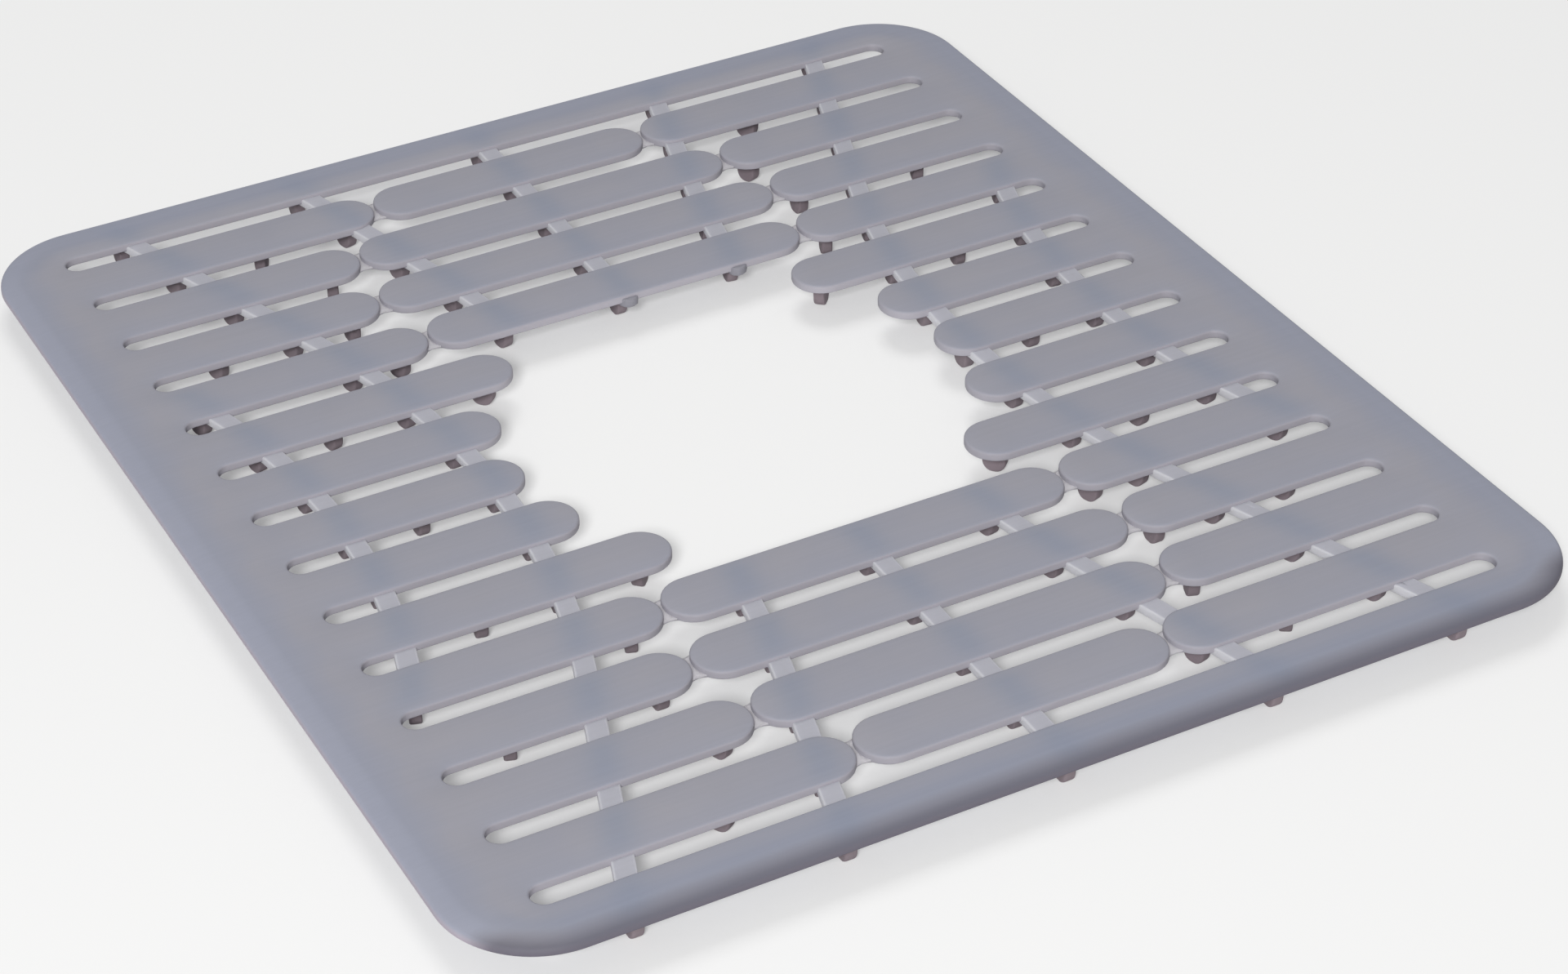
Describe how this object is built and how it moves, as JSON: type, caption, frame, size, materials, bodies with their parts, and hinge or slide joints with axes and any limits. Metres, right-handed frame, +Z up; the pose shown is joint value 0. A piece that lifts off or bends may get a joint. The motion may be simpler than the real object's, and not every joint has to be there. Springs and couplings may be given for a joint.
{
  "type": "sink mat",
  "caption": "Flexible moulded sink mat: long slats and drain slots around a lobed drain opening, held by curved ribs on small feet, with thin webs between facing slat tips.",
  "frame": {"origin": "under the middle of the drain opening, on the surface that the feet stand on", "axes": "+Z up, +X to the right along the slats, +Y from the front border to the back border"},
  "size_m": [0.2846, 0.3242, 0.01],
  "materials": {
    "skin": "satin grey silicone",
    "rib": "satin grey silicone, thin enough to let some light through",
    "web": "satin grey silicone, very thin and see-through",
    "foot": "satin grey silicone, seen in shade"
  },
  "bodies": {
    "root": {"back_border": "skin", "centre_feet_back": "foot", "centre_feet_front": "foot", "centre_rib_back": "rib", "centre_rib_front": "rib", "centre_slat_01": "skin", "centre_slat_02": "skin", "centre_slat_03": "skin", "centre_slat_04": "skin", "centre_slat_10": "skin", "centre_slat_11": "skin", "centre_slat_12": "skin", "centre_slat_13": "skin", "front_border": "skin", "inner_rib_back_left": "rib", "inner_rib_back_right": "rib", "inner_rib_front_left": "rib", "inner_rib_front_right": "rib", "left_band": "skin", "left_slat_01": "skin", "left_slat_02": "skin", "left_slat_03": "skin", "left_slat_04": "skin", "left_slat_05": "skin", "left_slat_06": "skin", "left_slat_07": "skin", "left_slat_08": "skin", "left_slat_09": "skin", "left_slat_10": "skin", "left_slat_11": "skin", "left_slat_12": "skin", "left_slat_13": "skin", "main_feet_left": "foot", "main_feet_right": "foot", "main_rib_left": "rib", "main_rib_right": "rib", "mid_feet_left": "foot", "mid_feet_right": "foot", "outer_feet_left": "foot", "outer_feet_right": "foot", "outer_rib_left": "rib", "outer_rib_right": "rib", "right_band": "skin", "right_slat_01": "skin", "right_slat_02": "skin", "right_slat_03": "skin", "right_slat_04": "skin", "right_slat_05": "skin", "right_slat_06": "skin", "right_slat_07": "skin", "right_slat_08": "skin", "right_slat_09": "skin", "right_slat_10": "skin", "right_slat_11": "skin", "right_slat_12": "skin", "right_slat_13": "skin", "snip_webs_back": "web", "snip_webs_front": "web", "tip_feet_left": "foot", "tip_feet_right": "foot"}
  },
  "joints": []
}
